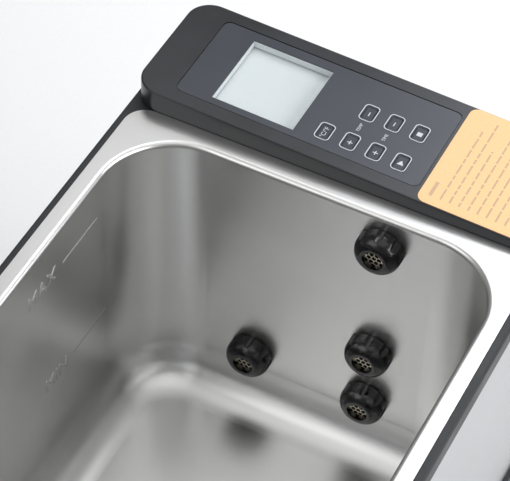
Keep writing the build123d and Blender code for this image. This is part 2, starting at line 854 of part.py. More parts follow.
duct_start = -2.0            # inside the volute, off the pump axis
column_radius = tube_radius + ball_swell
duct_plane = Plane(origin=(outlet_x, duct_start, duct_z), z_dir=forwards)
column_plane = Plane.XY.offset(duct_z - column_radius)
with BuildPart() as pump_housing:
    with BuildSketch(Plane.XY.offset(volute_base)):
        with Locations((suction_x, 0)):
            Circle(volute_radius)
    extrude(amount=volute_height)
    with BuildSketch(duct_plane):
        Circle(tube_radius)
    extrude(amount=duct_start - front_y)
    with BuildSketch(column_plane):
        with Locations((outlet_x, front_y)):
            Circle(column_radius)
    extrude(amount=volute_top - duct_z + column_radius)
    with BuildSketch(Plane.XY.offset(volute_top)):
        with Locations((outlet_x, front_y)):
            Circle(spigot_radius)
    extrude(amount=outlet_spigot_top - volute_top)
    with BuildSketch(Plane.XY.offset(volute_top)):
        with Locations((suction_x, 0)):
            Circle(spigot_radius)
    extrude(amount=inlet_spigot_top - volute_top)
    with BuildSketch(Plane.XY.offset(volute_base)):
        with Locations((suction_x, 0)):
            Circle(chamber_radius)
    extrude(amount=volute_height - volute_wall, mode=Mode.SUBTRACT)
    with BuildSketch(Plane.XY.offset(volute_base)):
        with Locations((suction_x, 0)):
            Circle(port_bore)
    extrude(amount=inlet_spigot_top - volute_base, mode=Mode.SUBTRACT)
    with BuildSketch(duct_plane):
        Circle(port_bore)
    extrude(amount=duct_start - front_y, mode=Mode.SUBTRACT)
    with BuildSketch(column_plane.offset(column_radius - port_bore)):
        with Locations((outlet_x, front_y)):
            Circle(port_bore)
    extrude(amount=outlet_spigot_top - duct_z + port_bore, mode=Mode.SUBTRACT)
pump_housing.part.label = "pump_housing"
export_step(pump_housing.part, "parts/pump_housing.step")

with BuildPart() as pump_can:
    with BuildSketch(Plane.XY.offset(volute_base)):
        with Locations((suction_x, 0)):
            Circle(volute_radius)
    extrude(amount=-can_plate)
    with BuildSketch(Plane.XY.offset(volute_base)):
        with Locations((suction_x, 0)):
            Circle(well_radius + can_wall)
    extrude(amount=can_floor - volute_base)
    with BuildSketch(Plane.XY.offset(volute_base)):
        with Locations((suction_x, 0)):
            Circle(well_radius)
    extrude(amount=can_floor + can_wall - volute_base, mode=Mode.SUBTRACT)
pump_can.part.label = "pump_can"
export_step(pump_can.part, "parts/pump_can.step")

with BuildPart() as pump_stator:
    with BuildSketch(Plane.XY.offset(can_floor + 1)):
        with Locations((suction_x, 0)):
            Circle(stator_radius)
            Circle(well_radius + can_wall, mode=Mode.SUBTRACT)
            with PolarLocations((stator_radius + well_radius) / 2 + 1, 6):
                Circle(3, mode=Mode.SUBTRACT)
    extrude(amount=stator_height)
pump_stator.part.label = "pump_stator"
export_step(pump_stator.part, "parts/pump_stator.step")

with BuildPart() as pump_shaft:
    with BuildSketch(Plane.XY.offset(can_floor + can_wall)):
        with Locations((suction_x, 0)):
            Circle(shaft_radius)
    extrude(amount=volute_base + 12 - can_floor - can_wall)
pump_shaft.part.label = "pump_shaft"
export_step(pump_shaft.part, "parts/pump_shaft.step")

rotor_floor = can_floor + can_wall + 1.2
impeller_plate = 2.0
vane_height = 9.0
vane_count = 6
with BuildPart() as pump_rotor:
    with BuildSketch(Plane.XY.offset(rotor_floor)):
        with Locations((suction_x, 0)):
            Circle(rotor_radius)
    extrude(amount=volute_base + 1 - rotor_floor)
    with BuildSketch(Plane.XY.offset(volute_base + 1)):
        with Locations((suction_x, 0)):
            Circle(impeller_radius)
    extrude(amount=impeller_plate)
    with BuildSketch(Plane.XY.offset(volute_base + 1 + impeller_plate)):
        with Locations((suction_x, 0)):
            Circle(2 * shaft_radius)
            with PolarLocations(impeller_radius / 2 + 1, vane_count):
                Rectangle(impeller_radius - 2.5, 1.4, rotation=25)
    extrude(amount=vane_height)
    with BuildSketch(Plane.XY.offset(rotor_floor)):
        with Locations((suction_x, 0)):
            Circle(shaft_radius + shaft_clearance)
    extrude(amount=volute_height + volute_base, mode=Mode.SUBTRACT)
pump_rotor.part.label = "pump_rotor"
export_step(pump_rotor.part, "parts/pump_rotor.step")

# ---------------------------------------------------------------- hoses and clamps
hose_bore = spigot_radius + hose_clearance
hose_radius = spigot_radius + hose_wall
hose_start = body_reach + 0.2
suction_hose_length = -front_y - body_reach - hose_start - 0.2


def hose(start, direction, length):
    with BuildPart() as piece:
        with BuildSketch(Plane(origin=start, z_dir=direction)):
            Circle(hose_radius)
            Circle(hose_bore, mode=Mode.SUBTRACT)
        extrude(amount=length)
    return piece


with BuildPart() as suction_hoses:
    with BuildSketch(Plane(origin=(suction_x, hose_start, low_z), z_dir=rearwards)):
        Circle(hose_radius)
        Circle(hose_bore, mode=Mode.SUBTRACT)
    extrude(amount=suction_hose_length)
    with BuildSketch(Plane(origin=(suction_x, -hose_start, low_z), z_dir=forwards)):
        Circle(hose_radius)
        Circle(hose_bore, mode=Mode.SUBTRACT)
    extrude(amount=suction_hose_length)
suction_hoses.part.label = "suction_hoses"
export_step(suction_hoses.part, "parts/suction_hoses.step")

inlet_hose_start = (suction_x, 0, volute_top + 0.2)
inlet_hose_length = low_z - hose_start - volute_top - 0.2
pump_inlet_hose = hose(inlet_hose_start, up, inlet_hose_length)
pump_inlet_hose.part.label = "pump_inlet_hose"
export_step(pump_inlet_hose.part, "parts/pump_inlet_hose.step")

middle_z = rim_height - port_middle
top_z = rim_height - port_top
lower_hose_start = (outlet_x, front_y, volute_top + 0.2)
lower_hose_length = middle_z - hose_start - volute_top - 0.2
return_hose_lower = hose(lower_hose_start, up, lower_hose_length)
return_hose_lower.part.label = "return_hose_lower"
export_step(return_hose_lower.part, "parts/return_hose_lower.step")

upper_hose_start = (outlet_x, front_y, middle_z + hose_start)
upper_hose_length = top_z - middle_z - 2 * hose_start
return_hose_upper = hose(upper_hose_start, up, upper_hose_length)
return_hose_upper.part.label = "return_hose_upper"
export_step(return_hose_upper.part, "parts/return_hose_upper.step")

clamp_margin = 1.0
clamp_runs = [
    ((suction_x, hose_start, low_z), rearwards, suction_hose_length),
    ((suction_x, -hose_start, low_z), forwards, suction_hose_length),
    (inlet_hose_start, up, inlet_hose_length),
    (lower_hose_start, up, lower_hose_length),
    (upper_hose_start, up, upper_hose_length),
]
with BuildPart() as hose_clamps:
    for start, direction, length in clamp_runs:
        for distance in (clamp_margin, length - clamp_margin - clamp_width):
            clamp_start = Vector(*start) + Vector(*direction) * distance
            with BuildSketch(Plane(origin=clamp_start, z_dir=direction)):
                Circle(hose_radius + clamp_sheet)
                Circle(hose_radius + hose_clearance, mode=Mode.SUBTRACT)
            extrude(amount=clamp_width)
hose_clamps.part.label = "hose_clamps"
export_step(hose_clamps.part, "parts/hose_clamps.step")

# ---------------------------------------------------------------- heater and insulation
floor_underside = tank_floor - steel
heater_sheet = 4.0
heater_length = 180.0
heater_width = 120.0
element_radius = 4.0
with BuildPart() as heater_plate:
    with BuildSketch(Plane.XY.offset(floor_underside)):
        with Locations((tank_x, 0)):
            RectangleRounded(heater_length, heater_width, 12)
    extrude(amount=-heater_sheet)
    element_z = floor_underside - heater_sheet - element_radius + 1
    with BuildLine(Plane.XY.offset(element_z)) as element_path:
        FilletPolyline(
            (tank_x + 60, -12), (tank_x + 60, -40), (tank_x - 60, -40), (tank_x - 60, 40),
            (tank_x + 60, 40), (tank_x + 60, 12), radius=22,
        )
    with BuildSketch(Plane(origin=(tank_x + 60, -12, element_z), z_dir=(0, -1, 0))):
        Circle(element_radius)
    sweep(path=element_path.wire())
heater_plate.part.label = "heater_plate"
export_step(heater_plate.part, "parts/heater_plate.step")

with BuildPart() as thermal_cutout:
    with BuildSketch(Plane.XY.offset(floor_underside - heater_sheet)):
        with Locations((tank_x, 0)):
            Circle(8)
            Rectangle(28, 7)
    extrude(amount=-2)
    with BuildSketch(Plane.XY.offset(floor_underside - heater_sheet)):
        with Locations((tank_x, 0)):
            Circle(8)
    extrude(amount=-8)
thermal_cutout.part.label = "thermal_cutout"
export_step(thermal_cutout.part, "parts/thermal_cutout.step")

with BuildPart() as temperature_sensor:
    with BuildSketch(Plane.XY.offset(floor_underside)):
        with Locations((tank_x + 110, 0)):
            Circle(4)
    extrude(amount=-14)
    with BuildSketch(Plane.XY.offset(floor_underside)):
        with Locations((tank_x + 110, 0)):
            RectangleRounded(12, 24, 3)
    extrude(amount=-1.5)
temperature_sensor.part.label = "temperature_sensor"
export_step(temperature_sensor.part, "parts/temperature_sensor.step")

wrap_gap = 1.0
wrap_sheet = 8.0
wrap_bottom = tank_floor + floor_radius + 4
wrap_top = rim_height - 16
wrap_inner = steel + wrap_gap
wrap_outer = wrap_inner + wrap_sheet
with BuildPart() as tank_insulation:
    with BuildSketch(Plane.XY.offset(wrap_bottom)):
        with Locations((tank_x, 0)):
            RectangleRounded(
                tank_length + 2 * wrap_outer,
                tank_width + 2 * wrap_outer,
                tank_corner + wrap_outer,
            )
            RectangleRounded(
                tank_length + 2 * wrap_inner,
                tank_width + 2 * wrap_inner,
                tank_corner + wrap_inner,
                mode=Mode.SUBTRACT,
            )
        with Locations((port_wall, 0)):
            Rectangle(2 * tank_corner, 2 * tank_width, mode=Mode.SUBTRACT)
    extrude(amount=wrap_top - wrap_bottom)
tank_insulation.part.label = "tank_insulation"
export_step(tank_insulation.part, "parts/tank_insulation.step")

# ---------------------------------------------------------------- fan
fan_x = port_wall + fan_across
fan_back = casing_side - casing_sheet - 0.2      # face against the casing
fan_plane = Plane(origin=(fan_x, fan_back, fan_height), x_dir=(1, 0, 0), z_dir=(0, -1, 0))
with BuildPart() as fan_frame:
    with BuildSketch(fan_plane):
        RectangleRounded(fan_side, fan_side, 3)
        Circle(fan_bore, mode=Mode.SUBTRACT)
        with GridLocations(32, 32, 2, 2):
            Circle(1.6, mode=Mode.SUBTRACT)
    extrude(amount=fan_depth)
    with BuildSketch(fan_plane.offset(fan_depth - 2)):
        Circle(fan_hub)
        Rectangle(2 * fan_bore + 1, 3)
        Rectangle(3, 2 * fan_bore + 1)
    extrude(amount=2)
fan_frame.part.label = "fan_frame"
export_step(fan_frame.part, "parts/fan_frame.step")

blade_count = 7
blade_length = fan_bore - fan_hub - 0.3
with BuildPart() as fan_rotor:
    with BuildSketch(fan_plane.offset(0.8)):
        Circle(fan_hub)
    extrude(amount=fan_depth - 2 - 1.1)
    with Locations(fan_plane.offset(fan_depth / 2 - 0.7).location):
        with PolarLocations(fan_hub - 0.5 + blade_length / 2, blade_count):
            Box(blade_length, 1.0, 6.5, rotation=(38, 0, 0))
fan_rotor.part.label = "fan_rotor"
export_step(fan_rotor.part, "parts/fan_rotor.step")

# ---------------------------------------------------------------- power board
power_board_width = post_x[1] - post_x[0] - 1
power_board_x = (post_x[0] + post_x[1]) / 2
board_plane = Plane(
    origin=(power_board_x, power_board_y + power_board_sheet / 2, 105),
    x_dir=(-1, 0, 0),
    z_dir=(0, 1, 0),
)
with BuildPart() as power_board:
    with BuildSketch(board_plane.offset(-power_board_sheet)):
        Rectangle(power_board_width, 100)
    extrude(amount=power_board_sheet)
    with BuildSketch(board_plane):
        with Locations((14, 28)):
            Rectangle(32, 26)
    extrude(amount=22)
    with BuildSketch(board_plane):
        with Locations((-20, 26)):
            Rectangle(20, 16)
        with Locations((-24, -2)):
            Rectangle(8, 20)
    extrude(amount=15)
    with BuildSketch(board_plane):
        with Locations((20, -6), (4, -6)):
            Circle(6)
    extrude(amount=19)
    with BuildSketch(board_plane):
        with Locations((0, -30)):
            with GridLocations(5, 0, 9, 1):
                Rectangle(1.6, 22)
            Rectangle(44, 3)
    extrude(amount=16)
power_board.part.label = "power_board"
export_step(power_board.part, "parts/power_board.step")

# ---------------------------------------------------------------- power inlet
socket_width = 24.6
socket_height = 16.8
socket_depth = 17.0
inlet_plane = Plane(
    origin=(fan_x, overall_width / 2, inlet_level), x_dir=(1, 0, 0), z_dir=(0, -1, 0)
)
pin_places = [(-7.0, -2.2), (7.0, -2.2), (0.0, 2.0)]
with BuildPart() as power_inlet:
    with BuildSketch(inlet_plane):
        RectangleRounded(inlet_width, inlet_height, 2.8)
    extrude(amount=inlet_lip)
    with BuildSketch(inlet_plane):
        Rectangle(inlet_body_width, inlet_body_height)
    extrude(amount=socket_depth + 6)
    with BuildSketch(inlet_plane) as socket_outline:
        Rectangle(socket_width, socket_height)
        chamfer(socket_outline.vertices().sort_by(Axis.Y)[-2:], length=5)
    extrude(amount=socket_depth, mode=Mode.SUBTRACT)
power_inlet.part.label = "power_inlet"
export_step(power_inlet.part, "parts/power_inlet.step")

with BuildPart() as inlet_pins:
    with BuildSketch(inlet_plane.offset(socket_depth)):
        with Locations(*pin_places):
            Rectangle(2, 3.6)
    extrude(amount=-(socket_depth - 2))
inlet_pins.part.label = "inlet_pins"
export_step(inlet_pins.part, "parts/inlet_pins.step")
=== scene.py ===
# %% [markdown]
# A countertop sous vide bath: a deep-drawn stainless tank hangs in a black
# plastic frame, and a sloping control housing, the pump and the electronics
# fill one end. The measured model is loaded as a fixed frame, and this lesson
# gives it its finishes, its printed and pressed marks, a floor, light and a
# camera. All lengths are metres, Z is up, and the origin is on the floor
# under the middle of the bath.

# %% Load the measured model
import math
import random

import bmesh
import bpy
from mathutils import Matrix, Vector


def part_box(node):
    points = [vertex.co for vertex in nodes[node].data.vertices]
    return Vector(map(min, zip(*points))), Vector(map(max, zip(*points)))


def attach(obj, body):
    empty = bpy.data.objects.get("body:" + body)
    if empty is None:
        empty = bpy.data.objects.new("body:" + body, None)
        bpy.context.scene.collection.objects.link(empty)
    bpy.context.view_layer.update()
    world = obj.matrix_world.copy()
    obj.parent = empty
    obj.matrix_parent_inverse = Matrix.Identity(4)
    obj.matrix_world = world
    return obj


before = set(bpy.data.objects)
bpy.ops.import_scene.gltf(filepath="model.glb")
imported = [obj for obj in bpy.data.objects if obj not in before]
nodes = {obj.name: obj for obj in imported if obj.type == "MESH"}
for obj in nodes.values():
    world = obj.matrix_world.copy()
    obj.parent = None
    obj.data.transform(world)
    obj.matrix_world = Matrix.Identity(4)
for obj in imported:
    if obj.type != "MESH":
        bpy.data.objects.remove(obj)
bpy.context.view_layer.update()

# %% [markdown]
# Real sizes are easiest to read in millimetres, and colours are easiest to
# read as the hex values of a paint chart. Blender works in metres and in
# linear light, so two small conversions come first. A third helper adds one
# shader node with its settings and its links.

# %% Helpers for sizes, colours and shader nodes
MM = 0.001


def linear(hex_colour):
    """An sRGB hex colour as the linear RGBA that a shader socket needs."""
    channels = [int(hex_colour[i:i + 2], 16) / 255 for i in (1, 3, 5)]
    bent = [c / 12.92 if c <= 0.04045 else ((c + 0.055) / 1.055) ** 2.4 for c in channels]
    return (*bent, 1.0)


def per_mm(size):
    """Pattern scale for one grain or thread of this many millimetres."""
    return 1.0 / (size * MM)


def add_node(tree, kind, settings=None, links=None):
    """Adds a node, sets its properties and sockets, and joins sockets to it."""
    node = tree.nodes.new(kind)
    for name, value in (settings or {}).items():
        if isinstance(name, str) and hasattr(node, name):
            setattr(node, name, value)
        else:
            node.inputs[name].default_value = value
    for name, source in (links or {}).items():
        tree.links.new(source, node.inputs[name])
    return node


def start_finish(name, colour, roughness, metallic=0.0, ior=1.5):
    """A new material with its shader, and the place on the piece in metres."""
    finish = bpy.data.materials.new(name)
    finish.use_nodes = True
    tree = finish.node_tree
    shader = tree.nodes["Principled BSDF"]
    shader.inputs["Base Color"].default_value = linear(colour)
    shader.inputs["Roughness"].default_value = roughness
    shader.inputs["Metallic"].default_value = metallic
    shader.inputs["IOR"].default_value = ior
    place = add_node(tree, "ShaderNodeTexCoord").outputs["Object"]
    return finish, tree, shader, place


def vary(tree, shader, pattern, low_colour, high_colour, smooth, rough, spread=(0.35, 0.65)):
    """Lets one pattern drive both the colour and the roughness of a shader."""
    low, high = spread
    tint = add_node(tree, "ShaderNodeMapRange", {1: low, 2: high}, {0: pattern})
    colour = add_node(
        tree, "ShaderNodeMix",
        {"data_type": "RGBA", 6: linear(low_colour), 7: linear(high_colour)},
        {0: tint.outputs[0]},
    )
    tree.links.new(colour.outputs[2], shader.inputs["Base Color"])
    polish = add_node(
        tree, "ShaderNodeMapRange", {1: low, 2: high, 3: smooth, 4: rough}, {0: pattern})
    tree.links.new(polish.outputs[0], shader.inputs["Roughness"])


def emboss(tree, shader, height, depth_mm, strength=1.0):
    """Turns a height pattern into a bump of a real depth in millimetres."""
    bump = add_node(
        tree, "ShaderNodeBump", {"Strength": strength, "Distance": depth_mm * MM},
        {"Height": height},
    )
    tree.links.new(bump.outputs[0], shader.inputs["Normal"])


print("red #B01E28 in linear light:", [round(c, 3) for c in linear("#B01E28")])

# %% [markdown]
# The tank is 0.8 mm stainless steel, pressed down over a punch in a few deep
# draws and then finished with a fine abrasive. That leaves a satin surface
# whose reflections are soft, with faint upright drawing lines on the walls and
# slow cloudy changes in polish. It could be a flat grey metal, but then every
# wall would reflect equally sharply. Here stretched noise gives the lines, and
# large noise gives the clouds. A metal keeps the default IOR.

# %% Satin drawn stainless steel
drawn_steel, tree, shader, place = start_finish(
    "satin_drawn_stainless", "#D6D6D5", 0.34, metallic=1.0)
line_scale = add_node(
    tree, "ShaderNodeMapping", {"Scale": (per_mm(1.4), per_mm(1.4), per_mm(80))}, {"Vector": place})
lines = add_node(
    tree, "ShaderNodeTexNoise", {"Scale": 1.0, "Detail": 3.0, "Roughness": 0.6},
    {"Vector": line_scale.outputs[0]})
clouds = add_node(
    tree, "ShaderNodeTexNoise", {"Scale": per_mm(70), "Detail": 3.0, "Roughness": 0.5},
    {"Vector": place})
vary(tree, shader, clouds.outputs[0], "#D2D2D1", "#DADAD9", 0.31, 0.37)
emboss(tree, shader, lines.outputs[0], 0.0015)
print("drawing lines every 1.4 mm, clouds every 70 mm")

# %% [markdown]
# The casing and the pressed marks share the same family of steel. The casing
# is rolled sheet, brushed level, so its grain is stretched along the sides.

# %% Brushed stainless sheet
casing_steel, tree, shader, place = start_finish(
    "level_brushed_stainless", "#BDBFC1", 0.34, metallic=1.0)
grain_scale = add_node(
    tree, "ShaderNodeMapping", {"Scale": (per_mm(45), per_mm(45), per_mm(0.5))}, {"Vector": place})
grain = add_node(
    tree, "ShaderNodeTexNoise", {"Scale": 1.0, "Detail": 4.0, "Roughness": 0.65},
    {"Vector": grain_scale.outputs[0]})
vary(tree, shader, grain.outputs[0], "#B2B4B6", "#C6C8CA", 0.28, 0.42)
emboss(tree, shader, grain.outputs[0], 0.01)

pressed_steel, tree, shader, place = start_finish(
    "pressed_mark_stainless", "#C2C2C1", 0.6, metallic=1.0)
matting = add_node(
    tree, "ShaderNodeTexNoise", {"Scale": per_mm(0.8), "Detail": 3.0}, {"Vector": place})
vary(tree, shader, matting.outputs[0], "#B8B8B7", "#CACAC9", 0.55, 0.68)
emboss(tree, shader, matting.outputs[0], 0.004)
print("brush grain every 0.5 mm")

# %% [markdown]
# The frame, the base and the handles are injection-moulded ABS from a
# spark-eroded mould. That mould texture is a field of tiny pits about 0.4 mm
# across: it scatters highlights and hides fingerprints. Cell noise gives the
# pits, and slow noise gives the slightly uneven gloss of large mouldings.

# %% Spark-textured black ABS
textured_abs, tree, shader, place = start_finish("spark_textured_abs", "#1F2124", 0.48, ior=1.53)
pits = add_node(
    tree, "ShaderNodeTexVoronoi", {"feature": "SMOOTH_F1", "Scale": per_mm(0.55)},
    {"Vector": place})
gloss = add_node(
    tree, "ShaderNodeTexNoise", {"Scale": per_mm(25), "Detail": 4.0}, {"Vector": place})
vary(tree, shader, gloss.outputs[0], "#1B1D20", "#25272B", 0.42, 0.54)
emboss(tree, shader, pits.outputs[0], 0.03, 0.5)
print("texture pits every 0.55 mm")

# %% [markdown]
# The control housing is the same plastic from a finer mould, so it is smoother
# and catches a broad sheen where the light falls on it.

# %% Satin black ABS
satin_abs, tree, shader, place = start_finish("satin_moulded_abs", "#191B20", 0.3, ior=1.53)
fine_grain = add_node(
    tree, "ShaderNodeTexNoise", {"Scale": per_mm(0.4), "Detail": 2.0}, {"Vector": place})
gloss = add_node(
    tree, "ShaderNodeTexNoise", {"Scale": per_mm(30), "Detail": 4.0}, {"Vector": place})
vary(tree, shader, gloss.outputs[0], "#16181C", "#1C1F24", 0.28, 0.34)
emboss(tree, shader, fine_grain.outputs[0], 0.01, 0.6)
print("satin grain every 0.4 mm")

# %% [markdown]
# The control panel is covered by a printed polyester film: the colour is
# printed on its underside and its top is embossed with a very fine velvet
# texture, so it looks a little deeper and bluer than the plastic round it.

# %% Printed polyester film
key_film, tree, shader, place = start_finish("printed_velvet_polyester", "#272C36", 0.34, ior=1.6)
velvet = add_node(
    tree, "ShaderNodeTexNoise", {"Scale": per_mm(0.25), "Detail": 2.0}, {"Vector": place})
gloss = add_node(
    tree, "ShaderNodeTexNoise", {"Scale": per_mm(40), "Detail": 3.0}, {"Vector": place})
vary(tree, shader, gloss.outputs[0], "#252A34", "#2A2F3A", 0.31, 0.37)
emboss(tree, shader, velvet.outputs[0], 0.006, 0.5)

key_cap, tree, shader, place = start_finish("satin_key_plastic", "#262B34", 0.36, ior=1.53)
velvet = add_node(
    tree, "ShaderNodeTexNoise", {"Scale": per_mm(0.3), "Detail": 2.0}, {"Vector": place})
wear = add_node(
    tree, "ShaderNodeTexNoise", {"Scale": per_mm(4), "Detail": 5.0}, {"Vector": place})
vary(tree, shader, wear.outputs[0], "#242932", "#2A2F38", 0.33, 0.4)
emboss(tree, shader, velvet.outputs[0], 0.008, 0.5)
print("film and keys done")

# %% [markdown]
# White marks on the keys are screen-printed ink, a slightly chalky layer.

# %% Screen-printed white ink
white_ink, tree, shader, place = start_finish("screen_printed_white_ink", "#C9CED4", 0.55, ior=1.5)
chalk = add_node(
    tree, "ShaderNodeTexNoise", {"Scale": per_mm(0.5), "Detail": 4.0}, {"Vector": place})
vary(tree, shader, chalk.outputs[0], "#C0C6CD", "#D3D8DD", 0.5, 0.62)
emboss(tree, shader, chalk.outputs[0], 0.01, 0.4)

# %% [markdown]
# The notes label is coated orange paper. Paper is a mat of fibres, so its
# colour is slightly cloudy and its surface has a soft tooth. Its wording is
# replaced by plain bars in a faint brown ink.

# %% Coated orange paper and faint ink
notes_paper, tree, shader, place = start_finish("coated_orange_paper", "#FBC993", 0.52, ior=1.47)
fibres = add_node(
    tree, "ShaderNodeTexNoise", {"Scale": per_mm(0.7), "Detail": 6.0, "Roughness": 0.65},
    {"Vector": place})
vary(tree, shader, fibres.outputs[0], "#F8C48C", "#FDCF9C", 0.46, 0.6)
emboss(tree, shader, fibres.outputs[0], 0.02, 0.4)

faint_ink, tree, shader, place = start_finish("faint_brown_ink", "#CBA888", 0.6, ior=1.5)
speckle = add_node(
    tree, "ShaderNodeTexNoise", {"Scale": per_mm(0.35), "Detail": 3.0}, {"Vector": place})
vary(tree, shader, speckle.outputs[0], "#C2A083", "#D6B391", 0.55, 0.65)
emboss(tree, shader, speckle.outputs[0], 0.004, 0.3)
print("paper fibres every 0.7 mm")

# %% [markdown]
# The display is a liquid crystal cell with a pale reflector behind it, under a
# clear acrylic pane. Unlit, it is an even pale grey with a faint grain from
# the polarising film. The pane is mostly see-through: its alpha is low, so
# that the display shows and only the gloss of its top is added.

# %% Display and clear pane
display, tree, shader, place = start_finish("unlit_liquid_crystal", "#D2D8DA", 0.3, ior=1.5)
polariser = add_node(
    tree, "ShaderNodeTexNoise", {"Scale": per_mm(0.6), "Detail": 3.0}, {"Vector": place})
vary(tree, shader, polariser.outputs[0], "#CED5D7", "#D5DBDD", 0.26, 0.36)
emboss(tree, shader, polariser.outputs[0], 0.003, 0.3)

clear_pane, tree, shader, place = start_finish("clear_acrylic", "#EDF3F5", 0.08, ior=1.49)
pane_alpha = 0.12
shader.inputs["Alpha"].default_value = pane_alpha
dust = add_node(
    tree, "ShaderNodeTexNoise", {"Scale": per_mm(6), "Detail": 6.0}, {"Vector": place})
polish = add_node(
    tree, "ShaderNodeMapRange", {1: 0.4, 2: 0.7, 3: 0.05, 4: 0.14}, {0: dust.outputs[0]})
tree.links.new(polish.outputs[0], shader.inputs["Roughness"])
print("pane alpha:", pane_alpha)

# %% [markdown]
# The filter caps are glossy black ABS. Such small thick mouldings sink a
# little as they cool, so their highlights wander instead of running straight.

# %% Glossy black ABS
cap_abs, tree, shader, place = start_finish("glossy_sunk_abs", "#070708", 0.2, ior=1.53)
sink = add_node(
    tree, "ShaderNodeTexNoise", {"Scale": per_mm(7), "Detail": 2.0}, {"Vector": place})
smear = add_node(
    tree, "ShaderNodeTexNoise", {"Scale": per_mm(3), "Detail": 5.0}, {"Vector": place})
vary(tree, shader, smear.outputs[0], "#050506", "#0B0B0D", 0.17, 0.26)
emboss(tree, shader, sink.outputs[0], 0.8, 0.3)

mesh_steel, tree, shader, place = start_finish(
    "etched_stainless_mesh", "#CFC6B4", 0.3, metallic=1.0)
etch = add_node(
    tree, "ShaderNodeTexNoise", {"Scale": per_mm(0.3), "Detail": 3.0}, {"Vector": place})
vary(tree, shader, etch.outputs[0], "#BFB5A2", "#D9D0BF", 0.24, 0.4)
emboss(tree, shader, etch.outputs[0], 0.02, 0.4)
print("cap sink every 7 mm")

# %% [markdown]
# Inside and under the bath are the working parts: silicone hoses and gaskets,
# white acetal pipe fittings, a glass-filled pump, zinc-plated screws, a cast
# aluminium heater, foam, brass and the boards. They show from below, from
# behind or in an open view, so each one still gets its own grain.

# %% Rubbers and plastics of the working parts
silicone, tree, shader, place = start_finish("moulded_silicone", "#D9D6CC", 0.42, ior=1.43)
bloom = add_node(
    tree, "ShaderNodeTexNoise", {"Scale": per_mm(5), "Detail": 4.0}, {"Vector": place})
vary(tree, shader, bloom.outputs[0], "#CFCBBF", "#E2DFD6", 0.34, 0.52)
emboss(tree, shader, bloom.outputs[0], 0.05, 0.4)

foot_rubber, tree, shader, place = start_finish("black_foot_rubber", "#17171A", 0.72, ior=1.52)
dust = add_node(
    tree, "ShaderNodeTexNoise", {"Scale": per_mm(1.2), "Detail": 5.0}, {"Vector": place})
vary(tree, shader, dust.outputs[0], "#131315", "#222226", 0.62, 0.82)
emboss(tree, shader, dust.outputs[0], 0.05, 0.6)

white_acetal, tree, shader, place = start_finish("white_acetal", "#E3E3DF", 0.38, ior=1.48)
flow = add_node(
    tree, "ShaderNodeTexNoise", {"Scale": per_mm(9), "Detail": 4.0}, {"Vector": place})
vary(tree, shader, flow.outputs[0], "#DAD9D4", "#EAEAE7", 0.3, 0.46)
emboss(tree, shader, flow.outputs[0], 0.08, 0.3)

glass_filled, tree, shader, place = start_finish(
    "glass_filled_pump_plastic", "#2A2A2D", 0.56, ior=1.6)
strands = add_node(
    tree, "ShaderNodeTexNoise", {"Scale": per_mm(0.8), "Detail": 6.0, "Distortion": 1.5},
    {"Vector": place})
vary(tree, shader, strands.outputs[0], "#232326", "#37373B", 0.48, 0.66)
emboss(tree, shader, strands.outputs[0], 0.03, 0.6)

black_switch, tree, shader, place = start_finish("black_nylon", "#202022", 0.46, ior=1.53)
grain = add_node(
    tree, "ShaderNodeTexNoise", {"Scale": per_mm(0.6), "Detail": 4.0}, {"Vector": place})
vary(tree, shader, grain.outputs[0], "#1B1B1D", "#28282B", 0.4, 0.54)
emboss(tree, shader, grain.outputs[0], 0.02, 0.5)

closed_foam, tree, shader, place = start_finish("closed_cell_foam", "#D2D2CC", 0.85, ior=1.45)
cells = add_node(
    tree, "ShaderNodeTexVoronoi", {"Scale": per_mm(1.6)}, {"Vector": place})
vary(tree, shader, cells.outputs[0], "#B9B9B2", "#DEDED9", 0.8, 0.92, (0.1, 0.6))
emboss(tree, shader, cells.outputs[0], 0.4, 0.8)
print("rubbers and plastics done")

# %% Metals and boards of the working parts
zinc, tree, shader, place = start_finish("zinc_plated_steel", "#C6C8CC", 0.3, metallic=1.0)
plating = add_node(
    tree, "ShaderNodeTexNoise", {"Scale": per_mm(2.5), "Detail": 5.0}, {"Vector": place})
vary(tree, shader, plating.outputs[0], "#B4B7BC", "#D2D3D6", 0.22, 0.42)
emboss(tree, shader, plating.outputs[0], 0.02, 0.5)

cast_aluminium, tree, shader, place = start_finish("cast_aluminium", "#B7B8BA", 0.5, metallic=1.0)
sand = add_node(
    tree, "ShaderNodeTexNoise", {"Scale": per_mm(1.0), "Detail": 6.0}, {"Vector": place})
vary(tree, shader, sand.outputs[0], "#A5A6A9", "#C3C4C6", 0.42, 0.62)
emboss(tree, shader, sand.outputs[0], 0.1, 0.6)

laminated_iron, tree, shader, place = start_finish("laminated_iron", "#77787A", 0.45, metallic=1.0)
sheets = add_node(
    tree, "ShaderNodeTexWave", {"bands_direction": "Z", "Scale": per_mm(3.0), "Distortion": 0.3},
    {"Vector": place})
vary(tree, shader, sheets.outputs[0], "#606163", "#8A8B8D", 0.38, 0.55, (0.0, 1.0))
emboss(tree, shader, sheets.outputs[0], 0.1, 0.8)

brass, tree, shader, place = start_finish("turned_brass", "#C9A55A", 0.28, metallic=1.0)
tarnish = add_node(
    tree, "ShaderNodeTexNoise", {"Scale": per_mm(3), "Detail": 5.0}, {"Vector": place})
vary(tree, shader, tarnish.outputs[0], "#B28F48", "#D6B46A", 0.22, 0.4)
emboss(tree, shader, tarnish.outputs[0], 0.02, 0.4)

